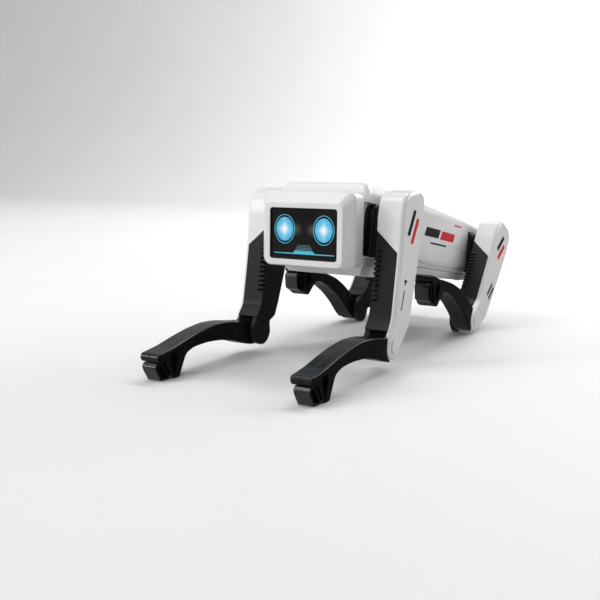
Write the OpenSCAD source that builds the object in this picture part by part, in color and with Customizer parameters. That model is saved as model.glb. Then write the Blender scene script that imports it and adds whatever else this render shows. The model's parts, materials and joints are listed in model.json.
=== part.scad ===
// Quadruped toy robot dog with a screen face, four two-joint legs and a boxy
// trunk. Millimetres, +Z up, the dog looks along -Y and its left side is +X.
// Pose: front feet and hind knees on the ground plane z = 0, trunk tilted.

/* [Stance] */
// Height of the front hip axis above the ground
hip_z = 95.6; // [93:0.1:99]
// Distance between the front and the hind hip axis
hip_span = 203.2; // [195:0.1:210]
// Swing of the front thighs, negative brings the knee forward
swing_front = -18.3; // [-22:0.1:-14]
// Swing of the hind thighs, negative brings the knee forward
swing_hind = -47; // [-50:0.5:-44]
// Rise of the front shanks above the horizontal
rise_front = 1.4; // [0:0.1:4]
// Rise of the hind shanks above the horizontal
rise_hind = 26.5; // [20:0.5:32]

/* [Trunk] */
// Half width of the trunk side walls
trunk_w = 36; // [34:0.5:37]
// Wall thickness of the moulded shells
wall = 2.4; // [1.8:0.1:3]

/* [Head] */
// Half width of the head box
head_w = 36.2; // [34:0.1:38]
// Half width of the window in the face
window_w = 26.4; // [24:0.1:27]

/* [Legs] */
// Inner side of the thighs, measured from the middle of the dog
thigh_in = 43.5; // [43.4:0.1:44.5]
// Outer side of the thighs
thigh_out = 63.3; // [62.5:0.1:65]
// Radius of the round knee end
knee_r = 10; // [9.8:0.1:10.4]

/* [Hidden] */
$fn = 64;
gap = 0.4;
run = 0.05;
hip_y = -40.27;
knee_back = -5;
knee_drop = 84;
shell_in = 60;
plate_out = 47.6;
shank_in = 48;
shank_mid = 55.4;
shank_out = 62.9;
knuckle_out = 59.6;
heel_back = 2.6;
shaft_r = 4;
pin_r = 3;
face_y = -87.5;
chamfer_y = -80;
back_y = -64.5;
glass_y = -85.5;
head_lo = 67.8;
head_hi = 120.5;
motor_out = 43;
motor_r = 16.5;
motor_low = 21.6;
motor_top = 14.4;
motor_round = 8;
belly_z = -24;
rear_y = 224;
switch_z = 4;
floor_z = -26.5;
screw_at = [[24.4, 2.1], [83.3, -1.7]];
belly_screw_at = [[-26, 60], [26, 60], [-26, 196], [26, 196]];

function knee_dy(s) = knee_back * cos(s) + knee_drop * sin(s);
function knee_dz(s) = knee_back * sin(s) - knee_drop * cos(s);
knee_fz = hip_z + knee_dz(swing_front);
heel_drop = knee_r - heel_back * sin(swing_hind);
pitch = asin((hip_z + knee_dz(swing_hind) - heel_drop) / hip_span);
hind_y = hip_y + hip_span * cos(pitch);
hind_z = hip_z - hip_span * sin(pitch);
function floor_v(u) = -(knee_fz + u * sin(rise_front)) / cos(rise_front);

WHITE = [0.93, 0.93, 0.94];
GREY = [0.72, 0.73, 0.75];
BLACK = [0.09, 0.09, 0.1];
DARK = [0.2, 0.21, 0.22];
STEEL = [0.7, 0.7, 0.72];
CYAN = [0.25, 0.75, 0.9];
GREEN = [0.1, 0.35, 0.2];
BLUE = [0.2, 0.3, 0.6];

// ---- helpers ----

// A flat (y, z) outline given thickness from x0 to x1
module slab(x0, x1) {
  translate([x0, 0, 0]) rotate([90, 0, 90]) linear_extrude(x1 - x0) children();
}

// A flat (x, z) outline given depth from y0 to y1
module run_y(y0, y1) {
  translate([0, y1, 0]) rotate([90, 0, 0]) linear_extrude(y1 - y0) children();
}

// A round bar along x at the height and depth given
module bar(x0, x1, r, y = 0, z = 0) {
  translate([x0, y, z]) rotate([0, 90, 0]) cylinder(h = x1 - x0, r = r);
}

// A rectangle with rounded corners between two heights
module round_rect(w, z0, z1, r) {
  union() {
    translate([-w + r, z0]) square([2 * w - 2 * r, z1 - z0]);
    translate([-w, z0 + r]) square([2 * w, z1 - z0 - 2 * r]);
    for (sx = [-1, 1]) {
      translate([sx * (w - r), z0 + r]) circle(r);
      translate([sx * (w - r), z1 - r]) circle(r);
    }
  }
}

// ---- frames ----

module on_trunk() {
  translate([0, hip_y, hip_z]) rotate([-pitch, 0, 0]) children();
}

module side(name) {
  if (name == "fl" || name == "hl") children();
  if (name == "fr" || name == "hr") mirror([1, 0, 0]) children();
}

module at_hip(name) {
  hy = (name == "fl" || name == "fr") ? 0 : hip_span;
  on_trunk() side(name) translate([0, hy, 0]) children();
}

module at_knee(name) {
  front = name == "fl" || name == "fr";
  s = front ? swing_front : swing_hind;
  hy = front ? hip_y : hind_y;
  hz = front ? hip_z : hind_z;
  side(name) translate([0, hy + knee_dy(s), hz + knee_dz(s)]) children();
}

module on_thigh(name) {
  s = (name == "fl" || name == "fr") ? swing_front : swing_hind;
  at_knee(name) rotate([s, 0, 0]) children();
}

module on_shank(name) {
  s = (name == "fl" || name == "fr") ? rise_front : rise_hind;
  at_knee(name) rotate([-s, 0, 0]) children();
}

// ---- trunk ----

module trunk_side(i) {
  polygon([
    [-23 + i, 19.5 - i / 2], [-18 + i, 28.3 - i], [90, 27.5 - i],
    [rear_y - 8, 22 - i], [rear_y - i, 14 - i / 2], [rear_y - i, -16],
    [rear_y - 8, belly_z], [-16.3 + i, belly_z]
  ]);
}

module trunk_section(i) {
  polygon([
    [-31 + i / 2, 29 - i], [31 - i / 2, 29 - i], [trunk_w - i, 20.5 - i / 2],
    [trunk_w - i, -17], [trunk_w - 1.7 - i, belly_z],
    [1.7 + i - trunk_w, belly_z], [i - trunk_w, -17],
    [i - trunk_w, 20.5 - i / 2]
  ]);
}

module trunk_block(i) {
  intersection() {
    slab(-trunk_w, trunk_w) trunk_side(i);
    run_y(-30, rear_y + 4) trunk_section(i);
  }
}

module motor_outline(grow) {
  w = motor_r + grow;
  low = motor_low + grow;
  c = w - motor_round;
  d = motor_top + grow - motor_round;
  union() {
    translate([-c, -low]) square([2 * c, low + d + motor_round]);
    translate([-w, -low]) square([2 * w, low + d]);
    for (sy = [-1, 1]) {
      translate([sy * c, d]) circle(motor_round);
    }
  }
}

// Stepped-in side walls around the four motor blocks
module motor_bays() {
  for (sx = [-1, 1]) {
    translate([sx * 36.2 - 5, -40, -22.4]) cube([10, 61, 37.1]);
    translate([sx * 36.2 - 5, hip_span - 16.9, -30]) cube([10, 60, 44.7]);
    for (hy = [0, hip_span]) {
      translate([0, hy, 0]) slab(sx * 30 - 6, sx * 30 + 6) motor_outline(run);
    }
  }
}

module neck_block(grow) {
  w = 17 + grow;
  run_y(back_y - 8, back_y + 14) round_rect(w, 80 - grow, 108 + grow, 4);
}

module body_shell() {
  color(WHITE) difference() {
    on_trunk() difference() {
      trunk_block(0);
      difference() {
        trunk_block(wall);
        translate([-trunk_w, -30, belly_z - 1]) cube([2 * trunk_w, 300, 1]);
        for (sx = [-1, 1]) {
          translate([sx * 36 - 7, -40, -24]) cube([14, 63, 43]);
          translate([sx * 36 - 7, hip_span - 19, -30]) cube([14, 62, 49]);
        }
      }
      translate([0, 0, belly_z - 0.5])
        linear_extrude(1.5)
          polygon([
            [-28.5, -13], [28.5, -13], [28.5, rear_y - 12],
            [-28.5, rear_y - 12]
          ]);
      motor_bays();
      translate([-6, rear_y - 4, switch_z - 3]) cube([12, 6, 6]);
    }
    neck_block(0.1);
  }
}

module belly_side(i) {
  polygon([
    [-16 + i, belly_z - 0.1], [-16 + i, -31], [-12 + i, -36 + i], [12, -36 + i],
    [34, -33 + i], [113, -30.8 + i], [202 - i, -28.8 + i],
    [rear_y - 9 - i, belly_z - 0.1]
  ]);
}

module belly_section(i) {
  polygon([
    [-34.1 + i, belly_z - 0.1], [34.1 - i, belly_z - 0.1], [33.2 - i, -29],
    [29 - i, -37], [i - 29, -37], [i - 33.2, -29]
  ]);
}

module belly_block(i) {
  intersection() {
    slab(-35, 35) belly_side(i);
    run_y(-20, rear_y) belly_section(i);
  }
}

module belly_plate() {
  color(GREY) on_trunk() difference() {
    belly_block(0);
    translate([0, 0, 0.01]) intersection() {
      belly_block(wall);
      translate([-40, -20, floor_z]) cube([80, 260, 10]);
    }
    translate([-20.1, 84.9, -40]) cube([40.2, 80.2, 40]);
    for (k = [-2:2]) {
      translate([-9, 10 + 3 * k, -40]) cube([18, 1.4, 20]);
    }
    for (p = belly_screw_at) {
      translate([p[0], p[1], -40]) cylinder(h = 20, r = 1.55);
      translate([p[0], p[1], -40]) cylinder(h = 12.2, r = 2.9);
    }
  }
}

module battery_door() {
  color(DARK) on_trunk() difference() {
    translate([-20, 85, -31.4]) cube([40, 80, 4.8]);
    for (k = [0:3]) {
      translate([-10, 92 + 4 * k, -32]) cube([20, 1.6, 1.2]);
    }
    translate([0, 158, -32]) cylinder(h = 1.8, r = 2.6);
  }
}

module belly_screws() {
  color(STEEL) on_trunk() for (p = belly_screw_at) {
    translate([p[0], p[1], 0]) {
      difference() {
        translate([0, 0, -29.4]) cylinder(h = 1.6, r = 2.7);
        translate([-2, -0.35, -29.5]) cube([4, 0.7, 0.8]);
        translate([-0.35, -2, -29.5]) cube([0.7, 4, 0.8]);
      }
      translate([0, 0, -27.8]) cylinder(h = 7, r = 1.5);
    }
  }
}

module battery_pack() {
  color(BLUE) on_trunk() {
    translate([-18, 88, -26.4]) cube([36, 74, 4]);
    for (sx = [-1, 1]) {
      translate([sx * 9.2, 89, -13.4])
        rotate([-90, 0, 0]) cylinder(h = 72, r = 9.1);
    }
  }
}

module circuit_board() {
  color(GREEN) on_trunk() {
    translate([-24, 26, -2]) cube([48, 120, 1.6]);
    translate([-8, 60, -0.4]) cube([16, 16, 1.8]);
    translate([-20, 100, -0.4]) cube([9, 6, 5]);
    translate([12, 40, -0.4]) cube([7, 12, 7]);
    for (sx = [-1, 1]) {
      translate([sx * 20, 95, -26.2]) cylinder(h = 24.2, r = 1.4);
    }
  }
}

module speaker() {
  color(DARK) on_trunk() translate([0, 10, 0]) {
    translate([0, 0, -26.2]) cylinder(h = 3, r = 14);
    translate([0, 0, -23.2]) cylinder(h = 6, r = 8);
  }
}

module power_switch() {
  color(BLACK) on_trunk() {
    translate([-4.6, rear_y - 2.3, switch_z - 1.6]) cube([3.2, 3.8, 3.2]);
    translate([-5.6, rear_y - 3.9, switch_z - 2.6]) cube([5.2, 1.5, 5.2]);
  }
}

module neck() {
  color(DARK) difference() {
    neck_block(0);
    run_y(back_y - 9, back_y + 15) round_rect(12, 85, 103, 3);
  }
}

// ---- head ----

module head_rear() {
  color(WHITE) difference() {
    run_y(chamfer_y + 0.1, back_y) round_rect(head_w, head_lo, head_hi, 5);
    run_y(chamfer_y - 1, back_y - wall)
      round_rect(head_w - wall, head_lo + wall, head_hi - wall, 4);
    neck_block(0.1);
  }
}

module head_bezel() {
  color(WHITE) difference() {
    intersection() {
      run_y(face_y, chamfer_y) round_rect(head_w, head_lo, head_hi, 5);
      slab(-40, 40)
        polygon([
          [face_y, 69.3], [face_y, 112.6], [chamfer_y, head_hi],
          [chamfer_y, head_lo]
        ]);
      linear_extrude(140)
        polygon([
          [-30.3, face_y], [30.3, face_y], [head_w, chamfer_y],
          [-head_w, chamfer_y]
        ]);
    }
    run_y(face_y - 1, glass_y) round_rect(window_w, 73.4, 108.8, 2);
    run_y(glass_y, chamfer_y + 1) round_rect(window_w + 1.6, 71.8, 110.4, 2);
  }
}

module screen_glass() {
  color(BLACK)
    run_y(glass_y + 0.02, glass_y + 2)
      round_rect(window_w + 1.5, 71.9, 110.3, 2);
}

module display_board() {
  color(GREEN) {
    run_y(glass_y + 2.1, glass_y + 3.7)
      round_rect(window_w + 1.4, 72, 110.2, 2);
    translate([-10, glass_y + 3.7, 84]) cube([20, 1.6, 14]);
  }
}

module eye_lights() {
  color(CYAN) for (sx = [-1, 1]) {
    translate([sx * 15.4, 0, 94.1])
      run_y(glass_y - 0.3, glass_y) union() {
        translate([0, 2]) circle(8.2);
        translate([0, -2]) circle(8.2);
        translate([-8.2, -2]) square([16.4, 4]);
      }
  }
}

module mouth_light() {
  color(CYAN) run_y(glass_y - 0.3, glass_y)
    polygon([
      [-23.8, 77.1], [23.8, 77.1], [23.8, 77.8], [8.8, 77.8], [5, 83.4],
      [-5, 83.4], [-8.8, 77.8], [-23.8, 77.8]
    ]);
}

// ---- hips ----

module hip_motor() {
  color(BLACK) difference() {
    union() {
      slab(28, 40.2) motor_outline(0);
      slab(40.2, 41.6) motor_outline(-2);
      slab(41.6, motor_out) motor_outline(-4);
    }
    bar(motor_out - 9, motor_out + 1, shaft_r + run);
  }
}

module hip_shaft() {
  color(STEEL) bar(motor_out - 8.6, 51, shaft_r);
}

// ---- thighs, drawn from the knee axis ----

module thigh_outline() {
  union() {
    translate([0, 90]) circle(17.9);
    translate([4.3, 98.8]) circle(11.5);
    circle(knee_r - 0.4);
    polygon([
      [17.3, 94.57], [15.42, 101.74], [-0.23, 109.37], [-7.05, 106.45],
      [0, 90]
    ]);
    polygon([
      [-17.9, 90], [-17.2, 85], [-14.9, 77], [-12.8, 68], [-11.6, 60],
      [-9.4, 48], [-7.6, 34], [-6, 20], [-9.2, 2.8], [0, 0], [8.6, -4.4],
      [19.6, 16], [20, 22], [20, 50], [18.9, 72], [17.9, 90], [0, 100]
    ]);
  }
}

// Region above the slanted lower edge of the wide top part, as (x, z)
module above_slant() {
  polygon([
    [thigh_in - 1, 77.4], [shell_in, 61.8], [shell_in + 1, 61.8],
    [shell_in + 1, 125], [thigh_in - 1, 125]
  ]);
}

module thigh_shell() {
  color(WHITE) difference() {
    union() {
      slab(shell_in, thigh_out) thigh_outline();
      intersection() {
        slab(thigh_in, shell_in) thigh_outline();
        run_y(-40, 40) above_slant();
      }
    }
    bar(thigh_in - 1, 51.1, shaft_r + 0.02, -knee_back, knee_drop);
    bar(shell_in - 1, 61.3, pin_r + 0.02);
    bar(61.9, 70, 4.95);
  }
}

// Side shape of the black inner frame, without its knee plate
module frame_outline() {
  polygon([
    [-16, 80], [-14.9, 77], [-12.8, 68], [-11.6, 60], [-9.4, 48],
    [-7.6, 34], [-6, 20], [-9.6, 7.4], [-4.6, 10.9], [11.5, 10.9],
    [15.4, 14.5],
    [16.6, 24], [17.8, 42], [18.4, 60], [18.2, 80]
  ]);
}

module thigh_frame() {
  color(BLACK) difference() {
    intersection() {
      union() {
        slab(thigh_in, shell_in - 0.1) frame_outline();
        slab(thigh_in, plate_out) union() {
          circle(knee_r - 0.4);
          translate([heel_back, 0]) circle(knee_r);
          polygon([
            [-9.2, 2.8], [-6.6, 16], [12, 12.5], [10, 0], [0, 0]
          ]);
        }
      }
      run_y(-40, 40)
        polygon([
          [thigh_in - 1, -20], [shell_in, -20], [shell_in, 61.6],
          [thigh_in - 1, 77.2]
        ]);
    }
    bar(thigh_in + 0.5, plate_out + 1, pin_r + 0.02);
    bar(thigh_in - 1, thigh_in + 2, 1.3, 1.4, 6.5);
    for (k = [0:9]) {
      translate([thigh_in - 1, -6.6 - 0.53 * k, 30.6 + 3.3 * k])
        rotate([-9, 0, 0]) translate([0, -4, 0]) cube([5.8, 6, 1.6]);
    }
  }
}

module knee_pin() {
  color(STEEL) bar(thigh_in + 0.6, 61.2, pin_r);
}

module knee_cap() {
  color(WHITE) bar(61.9, 64.3, 4.9);
}

// ---- shanks, drawn from the knee axis, u forward and v up ----

module shank_outline() {
  union() {
    circle(knee_r);
    mirror([1, 0]) polygon([
      [0, 10], [4, 9.2], [8, 8], [12, 7.7], [18, 8.2], [26, 9.1],
      [36, 9.8], [46, 9.9],
      [56, 9.2], [66, 7.8], [76, 5.6], [86, 3], [96, 0.7], [106, -1.2],
      [109.8, -1.8], [111.7, -3], [112.1, -4.6], [111.3, -6.4],
      [109.6, -7.4], [103.8, -7.4], [95.6, floor_v(95.6)],
      [91.2, floor_v(91.2)], [88, -15.5], [85, -11], [83, -6.7],
      [80, -4], [75, -2.3], [68, -1.4], [59, -1.2], [50, -1.4],
      [40, -2.3], [26, -4.6], [14, -8], [8, -9.4], [0, -10]
    ]);
  }
}

module shank_hole(i, x0, x1, r) {
  bar(x0, x1, r, -screw_at[i][0], screw_at[i][1]);
}

// Tapered hollow in the side of the foot
module foot_hollow(x0, x1) {
  slab(x0, x1) mirror([1, 0]) union() {
    translate([95.5, -6.6]) circle(3.6);
    polygon([[99, -7.2], [94.6, -17.6], [91.9, -6.6], [95.5, -10]]);
  }
}

module shank_inner() {
  color(BLACK) difference() {
    slab(shank_in, shank_mid) shank_outline();
    bar(shank_in - 1, shank_mid + 1, pin_r + run);
    foot_hollow(shank_in - 1, shank_in + 3);
    for (i = [0, 1]) {
      shank_hole(i, shank_in - 1, shank_in + 2.4, 2.1);
      shank_hole(i, shank_in - 1, shank_mid + 1, 1.25);
    }
  }
}

module shank_outer() {
  color(BLACK) difference() {
    union() {
      slab(shank_mid + 0.05, knuckle_out) shank_outline();
      difference() {
        slab(knuckle_out, shank_out) shank_outline();
        bar(knuckle_out - 1, shank_out + 1, knee_r + 0.9);
        translate([knuckle_out - 1, -10.4, 2]) cube([6, 22, 12]);
      }
    }
    bar(shank_mid - 1, knuckle_out + 1, pin_r + run);
    foot_hollow(shank_out - 3, shank_out + 1);
    for (i = [0, 1]) {
      shank_hole(i, shank_mid - 1, 59.2, 1.25);
    }
  }
}

module foot_pad() {
  color(DARK) difference() {
    slab(shank_in + 2.5, shank_out - 1.5) mirror([1, 0]) polygon([
      [104.2, -7.8], [109.4, -7.8], [110.8, -9.6], [110.5, -12.2],
      [105.5, floor_v(105.5)], [96.4, floor_v(96.4)]
    ]);
    for (x = [shank_in + 1.5, shank_out - 4.5]) {
      slab(x, x + 4) mirror([1, 0]) polygon([
        [104.6, -9.4], [107.6, -9.4], [108.4, -11.4], [104.4, -17.8],
        [99.6, -17.8]
      ]);
    }
  }
}

module shank_screws() {
  color(STEEL) for (i = [0, 1]) {
    difference() {
      shank_hole(i, shank_in + 0.7, shank_in + 2.3, 2);
      translate([
        shank_in, -screw_at[i][0] - 0.3, screw_at[i][1] - 1.4
      ]) cube([1.5, 0.6, 2.8]);
      translate([
        shank_in, -screw_at[i][0] - 1.4, screw_at[i][1] - 0.3
      ]) cube([1.5, 2.8, 0.6]);
    }
    shank_hole(i, shank_in + 2.3, 59, 1.2);
  }
}

// ---- the four legs ----

module hip_motor_fl() {
  at_hip("fl") hip_motor();
}

module hip_shaft_fl() {
  at_hip("fl") hip_shaft();
}

module thigh_shell_fl() {
  on_thigh("fl") thigh_shell();
}

module thigh_frame_fl() {
  on_thigh("fl") thigh_frame();
}

module knee_pin_fl() {
  on_thigh("fl") knee_pin();
}

module knee_cap_fl() {
  on_thigh("fl") knee_cap();
}

module shank_outer_fl() {
  on_shank("fl") shank_outer();
}

module shank_inner_fl() {
  on_shank("fl") shank_inner();
}

module foot_pad_fl() {
  on_shank("fl") foot_pad();
}

module shank_screws_fl() {
  on_shank("fl") shank_screws();
}

module hip_motor_fr() {
  at_hip("fr") hip_motor();
}

module hip_shaft_fr() {
  at_hip("fr") hip_shaft();
}

module thigh_shell_fr() {
  on_thigh("fr") thigh_shell();
}

module thigh_frame_fr() {
  on_thigh("fr") thigh_frame();
}

module knee_pin_fr() {
  on_thigh("fr") knee_pin();
}

module knee_cap_fr() {
  on_thigh("fr") knee_cap();
}

module shank_outer_fr() {
  on_shank("fr") shank_outer();
}

module shank_inner_fr() {
  on_shank("fr") shank_inner();
}

module foot_pad_fr() {
  on_shank("fr") foot_pad();
}

module shank_screws_fr() {
  on_shank("fr") shank_screws();
}

module hip_motor_hl() {
  at_hip("hl") hip_motor();
}

module hip_shaft_hl() {
  at_hip("hl") hip_shaft();
}

module thigh_shell_hl() {
  on_thigh("hl") thigh_shell();
}

module thigh_frame_hl() {
  on_thigh("hl") thigh_frame();
}

module knee_pin_hl() {
  on_thigh("hl") knee_pin();
}

module knee_cap_hl() {
  on_thigh("hl") knee_cap();
}

module shank_outer_hl() {
  on_shank("hl") shank_outer();
}

module shank_inner_hl() {
  on_shank("hl") shank_inner();
}

module foot_pad_hl() {
  on_shank("hl") foot_pad();
}

module shank_screws_hl() {
  on_shank("hl") shank_screws();
}

module hip_motor_hr() {
  at_hip("hr") hip_motor();
}

module hip_shaft_hr() {
  at_hip("hr") hip_shaft();
}

module thigh_shell_hr() {
  on_thigh("hr") thigh_shell();
}

module thigh_frame_hr() {
  on_thigh("hr") thigh_frame();
}

module knee_pin_hr() {
  on_thigh("hr") knee_pin();
}

module knee_cap_hr() {
  on_thigh("hr") knee_cap();
}

module shank_outer_hr() {
  on_shank("hr") shank_outer();
}

module shank_inner_hr() {
  on_shank("hr") shank_inner();
}

module foot_pad_hr() {
  on_shank("hr") foot_pad();
}

module shank_screws_hr() {
  on_shank("hr") shank_screws();
}

// ---- one line per node ----

body_shell();
belly_plate();
battery_door();
belly_screws();
battery_pack();
circuit_board();
speaker();
power_switch();
neck();
head_rear();
head_bezel();
screen_glass();
display_board();
eye_lights();
mouth_light();
hip_motor_fl();
hip_shaft_fl();
thigh_shell_fl();
thigh_frame_fl();
knee_pin_fl();
knee_cap_fl();
shank_outer_fl();
shank_inner_fl();
foot_pad_fl();
shank_screws_fl();
hip_motor_fr();
hip_shaft_fr();
thigh_shell_fr();
thigh_frame_fr();
knee_pin_fr();
knee_cap_fr();
shank_outer_fr();
shank_inner_fr();
foot_pad_fr();
shank_screws_fr();
hip_motor_hl();
hip_shaft_hl();
thigh_shell_hl();
thigh_frame_hl();
knee_pin_hl();
knee_cap_hl();
shank_outer_hl();
shank_inner_hl();
foot_pad_hl();
shank_screws_hl();
hip_motor_hr();
hip_shaft_hr();
thigh_shell_hr();
thigh_frame_hr();
knee_pin_hr();
knee_cap_hr();
shank_outer_hr();
shank_inner_hr();
foot_pad_hr();
shank_screws_hr();
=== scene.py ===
"""Looks of a quadruped toy robot dog with a screen face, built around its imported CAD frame."""

import json
import math

import bmesh
import bpy
from mathutils import Matrix, Vector


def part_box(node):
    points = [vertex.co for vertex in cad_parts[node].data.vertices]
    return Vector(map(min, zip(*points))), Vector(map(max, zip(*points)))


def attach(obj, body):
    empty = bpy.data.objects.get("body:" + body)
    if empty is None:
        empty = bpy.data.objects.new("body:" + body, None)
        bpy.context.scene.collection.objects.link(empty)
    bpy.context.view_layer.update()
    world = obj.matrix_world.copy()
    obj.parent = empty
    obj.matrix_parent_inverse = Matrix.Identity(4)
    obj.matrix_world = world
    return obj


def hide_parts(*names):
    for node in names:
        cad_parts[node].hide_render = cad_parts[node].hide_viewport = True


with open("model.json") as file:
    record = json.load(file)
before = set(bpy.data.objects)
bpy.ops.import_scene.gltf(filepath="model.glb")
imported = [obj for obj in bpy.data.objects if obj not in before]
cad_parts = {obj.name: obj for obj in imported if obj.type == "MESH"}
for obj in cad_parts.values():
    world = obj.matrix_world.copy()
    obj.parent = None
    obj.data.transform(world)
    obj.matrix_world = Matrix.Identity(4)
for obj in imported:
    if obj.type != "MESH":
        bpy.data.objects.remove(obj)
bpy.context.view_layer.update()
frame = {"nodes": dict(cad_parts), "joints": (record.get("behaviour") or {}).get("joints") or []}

MM = 0.001
FRONT = ("fl", "fr")
HIND = ("hl", "hr")
LEGS = FRONT + HIND

# ---- places worked out from the frame, in millimetres ----

JOINTS = {j["name"]: Vector(j["pos_m"]) / MM for j in frame["joints"] if "pos_m" in j}
HIP_FRONT = JOINTS["hip_fl"]
HIP_HIND = JOINTS["hip_hl"]
HIP_SPAN = math.hypot(HIP_HIND.y - HIP_FRONT.y, HIP_HIND.z - HIP_FRONT.z)
PITCH = math.atan2(HIP_FRONT.z - HIP_HIND.z, HIP_HIND.y - HIP_FRONT.y)

# The knee axis seen from the hip axis of an upright thigh
KNEE_BACK = -5.0
KNEE_DROP = 84.0

# How far each shank points up from level, in degrees
RISE_FRONT = 1.4
RISE_HIND = 26.5


def node_box(node):
    low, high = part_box(node)
    return low / MM, high / MM


# ---- local spaces, in millimetres, for the dog's left side ----


def at_yz(place, turn):
    """A space whose origin is at (0, y, z), turned about x."""
    return Matrix.Translation((0, place.y, place.z)) @ Matrix.Rotation(turn, 4, "X")


TRUNK = at_yz(HIP_FRONT, -PITCH)


def hip_space(leg):
    return TRUNK if leg in FRONT else TRUNK @ Matrix.Translation((0, HIP_SPAN, 0))


def thigh_space(leg):
    hip, knee = JOINTS[f"hip_{leg}"], JOINTS[f"knee_{leg}"]
    reach = knee - hip
    swing = math.atan2(reach.y, -reach.z) - math.atan2(KNEE_BACK, KNEE_DROP)
    return at_yz(knee, swing)


def shank_space(leg):
    rise = RISE_FRONT if leg in FRONT else RISE_HIND
    return at_yz(JOINTS[f"knee_{leg}"], -math.radians(rise))


# ---- outlines ----


def rounded(corners, step=9.0, pieces=0):
    """A closed outline through (a, b, radius) corners, each one turned into an arc.
    With pieces given, every corner gets that many, so that outlines can be lofted."""
    points = []
    count = len(corners)
    for i, (a, b, radius) in enumerate(corners):
        here = Vector((a, b))
        before = Vector(corners[i - 1][:2]) - here
        after = Vector(corners[(i + 1) % count][:2]) - here
        half = before.angle(after) / 2
        turn = math.pi - 2 * half
        if not pieces and (radius <= 0 or turn < 0.01):
            points.append(here)
            continue
        half = min(half, math.pi / 2 - 0.002)
        reach = min(radius / math.tan(half), 0.5 * before.length, 0.5 * after.length)
        start = here + before.normalized() * reach
        end = here + after.normalized() * reach
        parts = pieces or max(1, math.ceil(math.degrees(turn) / step))
        bisector = (before.normalized() + after.normalized()).normalized()
        middle = here + bisector * (reach / math.cos(half))
        arm = start - middle
        sweep = arm.angle_signed(end - middle)
        for k in range(parts + 1):
            angle = -sweep * k / parts
            cosine, sine = math.cos(angle), math.sin(angle)
            spoke = Vector((arm.x * cosine - arm.y * sine, arm.x * sine + arm.y * cosine))
            points.append(middle + spoke)
    if pieces:
        return points
    kept = [p for i, p in enumerate(points) if (p - points[i - 1]).length > 0.02]
    return counter_clockwise(kept)


def counter_clockwise(points):
    area = sum(points[i - 1].cross(points[i]) for i in range(len(points)))
    return points if area > 0 else points[::-1]


def circle(radius, a=0.0, b=0.0, count=48, stretch=1.0):
    """A circle about (a, b), stretched along its second axis."""
    points = []
    for k in range(count):
        angle = 2 * math.pi * k / count
        point = (a + radius * math.cos(angle), b + stretch * radius * math.sin(angle))
        points.append(Vector(point))
    return points


def inset(points, depth, rear=1.0):
    """The outline moved inwards; rear scales the depth where it faces +a."""
    if abs(depth) < 1e-6:
        return points
    moved = []
    count = len(points)
    for i, p in enumerate(points):
        before = (p - points[i - 1]).normalized()
        after = (points[(i + 1) % count] - p).normalized()
        n1 = Vector((-before.y, before.x))
        n2 = Vector((-after.y, after.x))
        inward = (n1 + n2) / max(0.35, 1 + n1.dot(n2))
        backward = 0.5 - 0.5 * (n1 + n2).normalized().x
        moved.append(p + inward * depth * (1 + (rear - 1) * backward))
    return moved


# ---- meshes, built in millimetres ----

# Points closer than this are joined
WELD = 0.001

# Edges between faces under this many degrees shade smoothly
SMOOTH_BELOW = 34.0

# Edges sharper than this many degrees are rounded
ROUND_ABOVE = 38.0


def loft(rings, closed=False):
    """A mesh skinned over rings of equal length; an open one gets two end faces."""
    bm = bmesh.new()
    made = [[bm.verts.new(p) for p in ring] for ring in rings]
    count = len(made[0])
    pairs = list(zip(made, made[1:])) + ([(made[-1], made[0])] if closed else [])
    for one, two in pairs:
        for i in range(count):
            bm.faces.new((one[i - 1], one[i], two[i], two[i - 1]))
    if not closed:
        bm.faces.new(made[0])
        bm.faces.new(made[-1])
    bmesh.ops.remove_doubles(bm, verts=bm.verts, dist=WELD)
    bmesh.ops.dissolve_degenerate(bm, edges=bm.edges, dist=WELD)
    bmesh.ops.recalc_face_normals(bm, faces=bm.faces)
    return to_mesh(bm)


def to_mesh(bm):
    mesh = bpy.data.meshes.new("work")
    bm.to_mesh(mesh)
    bm.free()
    return mesh


def plate(outline, x0, x1, near, far, steps=4, rear=1.0):
    """An outline in (y, z) given thickness along x, with its two edges rounded.
    near and far are each edge's rounding along x and inwards, scaled by rear at the back."""
    rings = []
    for k in range(steps + 1):
        t = math.pi / 2 * k / steps
        x = x0 + near[0] * (1 - math.cos(t))
        rings.append((x, near[1] * (1 - math.sin(t))))
    for k in range(steps + 1):
        t = math.pi / 2 * k / steps
        x = x1 - far[0] * (1 - math.sin(t))
        rings.append((x, far[1] * (1 - math.cos(t))))
    return loft([[(x, p.x, p.y) for p in inset(outline, d, rear)] for x, d in rings])


def block(x0, x1, y0, y1, z0, z1):
    outline = [Vector((y0, z0)), Vector((y1, z0)), Vector((y1, z1)), Vector((y0, z1))]
    return prism(outline, x0, x1)


def prism(outline, x0, x1):
    """A sharp-edged solid along x, used mostly as a knife."""
    return loft([[(x, p.x, p.y) for p in outline] for x in (x0, x1)])


def prism_y(outline, y0, y1):
    """The same along y, from an outline in (x, z)."""
    return loft([[(p.x, y, p.y) for p in outline] for y in (y0, y1)])


def prism_z(outline, z0, z1):
    """The same along z, from an outline in (x, y)."""
    return loft([[(p.x, p.y, z) for p in outline] for z in (z0, z1)])


def turned(mesh, matrix):
    copy = mesh.copy()
    copy.transform(matrix)
    return copy


def merged(meshes):
    """Several meshes as one, each keeping its own closed surface."""
    bm = bmesh.new()
    for mesh in meshes:
        bm.from_mesh(mesh)
    return to_mesh(bm)


def with_modifiers(mesh, setup):
    """The mesh after the modifiers that setup adds to a short-lived object."""
    obj = bpy.data.objects.new("work", mesh)
    bpy.context.scene.collection.objects.link(obj)
    helpers = setup(obj) or []
    bpy.context.view_layer.update()
    depsgraph = bpy.context.evaluated_depsgraph_get()
    result = bpy.data.meshes.new_from_object(obj.evaluated_get(depsgraph))
    for o in [obj, *helpers]:
        bpy.data.objects.remove(o)
    return result


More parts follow.
